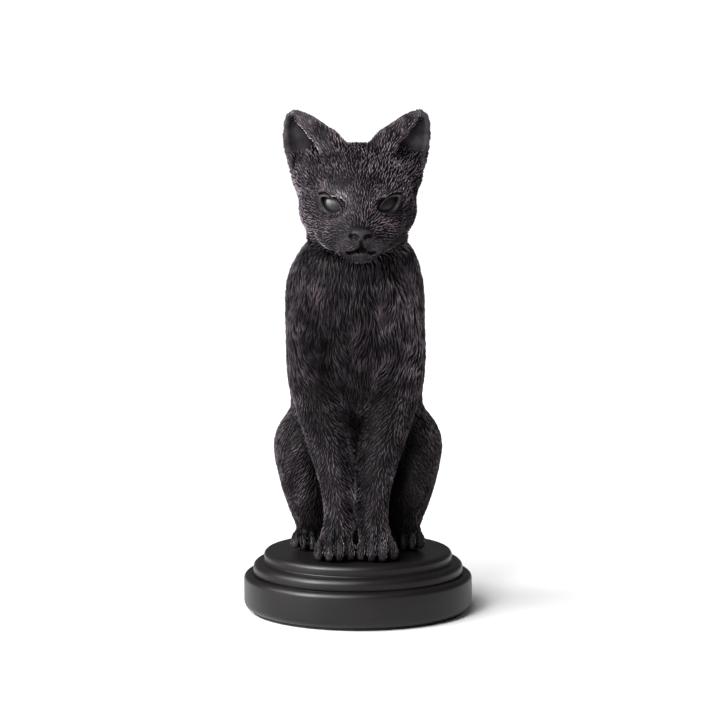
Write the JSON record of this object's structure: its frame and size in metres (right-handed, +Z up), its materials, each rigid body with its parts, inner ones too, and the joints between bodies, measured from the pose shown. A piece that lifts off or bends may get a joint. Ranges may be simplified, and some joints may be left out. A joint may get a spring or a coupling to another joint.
{
  "type": "cat figurine",
  "caption": "Seated cat figurine with carved fur, cast in matt black ceramic on a stepped round plinth with a felt base.",
  "frame": {"origin": "centre of the felt's underside, where the figurine stands", "axes": "+Z up through the plinth's axis, the cat looks along -Y, its own left is +X"},
  "size_m": [0.103, 0.103, 0.2255],
  "materials": {
    "cat_ceramic": "matt charcoal black, with the crests of the carved fur burnished lighter",
    "eye_ceramic": "smooth satin charcoal",
    "plinth_ceramic": "smooth satin charcoal",
    "felt": "black felt",
    "plug_resin": "cast resin",
    "insert_brass": "machined",
    "zinc_steel": "zinc plated",
    "washer_fibre": "red vulcanised fibre"
  },
  "bodies": {
    "root": {"cat_body": "cat_ceramic", "cat_head": "cat_ceramic", "tail": "cat_ceramic", "eye_left": "eye_ceramic", "eye_right": "eye_ceramic", "plinth_moulding": "plinth_ceramic", "plinth_drum": "plinth_ceramic", "felt_pad": "felt", "fixing_plug": "plug_resin", "threaded_insert": "insert_brass", "fixing_bolt": "zinc_steel", "steel_washer": "zinc_steel", "fibre_washer": "washer_fibre"}
  },
  "joints": []
}
